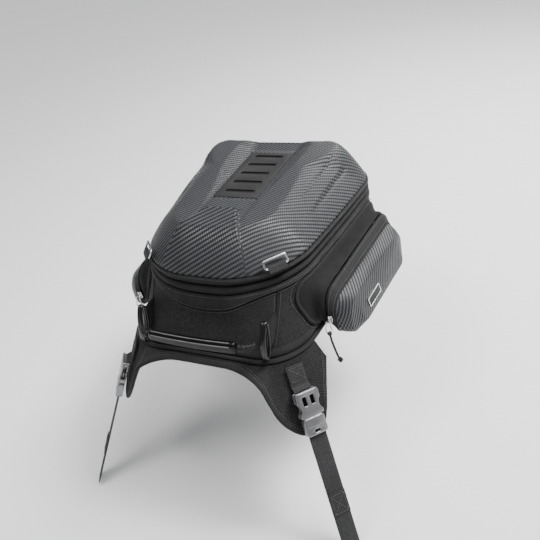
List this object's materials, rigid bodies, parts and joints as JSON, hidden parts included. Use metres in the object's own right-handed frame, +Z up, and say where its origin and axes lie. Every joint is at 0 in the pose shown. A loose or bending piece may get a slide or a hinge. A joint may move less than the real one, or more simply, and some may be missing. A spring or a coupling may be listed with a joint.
{
  "type": "motorcycle tank bag",
  "caption": "Hard-top motorcycle tank bag on a strap harness, with a hinged lid, side pockets, rear handle, zips and quick-release buckles.",
  "frame": {"origin": "on the flat underside of the anti-slip mat, below the middle of the lid", "axes": "+Z up, +Y towards the handlebars, +X to the rider's right"},
  "size_m": [0.431, 0.6185, 0.3774],
  "materials": {
    "carbon": "satin carbon-look twill skin on moulded foam",
    "fabric": "fine ballistic-weave nylon",
    "binding": "woven binding tape",
    "webbing": "ribbed polyester webbing",
    "lining": "smooth lining cloth",
    "board": "plain stiffener board",
    "mat_rubber": "dimpled anti-slip rubber",
    "handle_rubber": "glossy moulded rubber",
    "plate_rubber": "smooth matt rubber",
    "zipper": "nylon coil on woven tape",
    "nickel": "bright nickel",
    "buckle": "metallic grey satin",
    "cord": "braided cord"
  },
  "bodies": {
    "bag": {"anti_slip_mat": "mat_rubber", "base_panel": "fabric", "base_piping": "binding", "body_lining": "lining", "body_shell": "fabric", "expansion_zipper": "zipper", "floor_board": "board", "harness_skirt": "fabric", "lid_hinge_tape": "binding", "lower_band": "fabric", "upper_band": "fabric", "main_zipper_lower": "zipper", "handle_anchor_left": "webbing", "handle_anchor_right": "webbing", "handle_loop_left": "handle_rubber", "handle_loop_right": "handle_rubber", "pocket_gusset_left": "fabric", "pocket_gusset_right": "fabric", "pocket_zipper_left": "zipper", "pocket_zipper_right": "zipper", "buckle_female_left": "buckle", "buckle_female_right": "buckle", "buckle_female_front": "buckle", "strap_upper_left": "webbing", "strap_upper_right": "webbing", "strap_upper_front": "webbing"},
    "lid": {"lid_shell": "carbon", "lid_binding": "binding", "lid_lining": "lining", "slot_plate": "plate_rubber", "main_zipper_upper": "zipper", "ring_tab_left": "webbing", "ring_tab_right": "webbing"},
    "handle": {"handle_grip": "handle_rubber", "handle_flex_left": "handle_rubber", "handle_flex_right": "handle_rubber"},
    "ring_left": {"lid_ring_left": "nickel"},
    "pocket_left": {"pocket_shell_left": "carbon", "pocket_band_left": "fabric", "pocket_badge_left": "nickel"},
    "zip_slider_left": {"pocket_slider_left": "nickel"},
    "zip_pull_left": {"pocket_pull_left": "nickel", "pull_cord_left": "cord"},
    "ring_right": {"lid_ring_right": "nickel"},
    "pocket_right": {"pocket_shell_right": "carbon", "pocket_band_right": "fabric", "pocket_badge_right": "nickel"},
    "zip_slider_right": {"pocket_slider_right": "nickel"},
    "zip_pull_right": {"pocket_pull_right": "nickel", "pull_cord_right": "cord"},
    "strap_left": {"buckle_male_left": "buckle", "strap_lower_left": "webbing"},
    "strap_right": {"buckle_male_right": "buckle", "strap_lower_right": "webbing"},
    "strap_front": {"buckle_male_front": "buckle", "strap_lower_front": "webbing"},
    "main_slider_front": {"main_slider_front": "nickel"},
    "main_pull_front": {"main_pull_front": "nickel"},
    "main_slider_rear": {"main_slider_rear": "nickel"},
    "main_pull_rear": {"main_pull_rear": "nickel"}
  },
  "joints": [
    {"name": "lid_hinge", "type": "hinge", "parent": "bag", "child": "lid", "pos_m": [0, 0.1525, 0.0995], "axis": [-1, 0, 0], "range_deg": [0, 100]},
    {"name": "handle_swing", "type": "hinge", "parent": "bag", "child": "handle", "pos_m": [0, -0.187, 0.041], "axis": [-1, 0, 0], "range_deg": [-18, 32]},
    {"name": "ring_right_swing", "type": "hinge", "parent": "lid", "child": "ring_right", "pos_m": [0.0987, -0.1216, 0.115], "axis": [0.6622, 0.7493, 0], "range_deg": [-10, 75]},
    {"name": "pocket_right_open", "type": "hinge", "parent": "bag", "child": "pocket_right", "pos_m": [0.1571, 0, 0.008], "axis": [0.0763, 0.9971, 0], "range_deg": [0, 45]},
    {"name": "zip_slider_right_travel", "type": "slide", "parent": "bag", "child": "zip_slider_right", "axis": [0, 0, 1], "range_m": [0, 0.012]},
    {"name": "zip_pull_right_swing", "type": "hinge", "parent": "zip_slider_right", "child": "zip_pull_right", "pos_m": [0.151, -0.1164, 0.027], "axis": [0.9988, 0, 0.0499], "range_deg": [-90, 0]},
    {"name": "ring_left_swing", "type": "hinge", "parent": "lid", "child": "ring_left", "pos_m": [-0.0987, -0.1216, 0.115], "axis": [0.6622, -0.7493, 0], "range_deg": [-10, 75]},
    {"name": "pocket_left_open", "type": "hinge", "parent": "bag", "child": "pocket_left", "pos_m": [-0.1571, 0, 0.008], "axis": [0.0763, -0.9971, 0], "range_deg": [0, 45]},
    {"name": "zip_slider_left_travel", "type": "slide", "parent": "bag", "child": "zip_slider_left", "axis": [0, 0, 1], "range_m": [0, 0.012]},
    {"name": "zip_pull_left_swing", "type": "hinge", "parent": "zip_slider_left", "child": "zip_pull_left", "pos_m": [-0.151, -0.1164, 0.027], "axis": [0.9988, 0, -0.0499], "range_deg": [-90, 0]},
    {"name": "buckle_right_release", "type": "slide", "parent": "bag", "child": "strap_right", "axis": [0.3148, -0.3828, -0.8685], "range_m": [0, 0.03]},
    {"name": "buckle_left_release", "type": "slide", "parent": "bag", "child": "strap_left", "axis": [-0.3148, -0.3828, -0.8685], "range_m": [0, 0.03]},
    {"name": "buckle_front_release", "type": "slide", "parent": "bag", "child": "strap_front", "axis": [0, 0.8, -0.6], "range_m": [0, 0.03]},
    {"name": "main_slider_front_travel", "type": "slide", "parent": "bag", "child": "main_slider_front", "axis": [-0.0826, 0.9966, 0], "range_m": [0, 0.025]},
    {"name": "main_pull_front_swing", "type": "hinge", "parent": "main_slider_front", "child": "main_pull_front", "pos_m": [-0.14653, 0.07131, 0.0995], "axis": [-0.0826, 0.9966, 0], "range_deg": [0, 90]},
    {"name": "main_slider_rear_travel", "type": "slide", "parent": "bag", "child": "main_slider_rear", "axis": [-0.0917, 0.9958, 0], "range_m": [-0.05, 0]},
    {"name": "main_pull_rear_swing", "type": "hinge", "parent": "main_slider_rear", "child": "main_pull_rear", "pos_m": [-0.1449, 0.05323, 0.0995], "axis": [-0.0917, 0.9958, 0], "range_deg": [0, 90]}
  ]
}
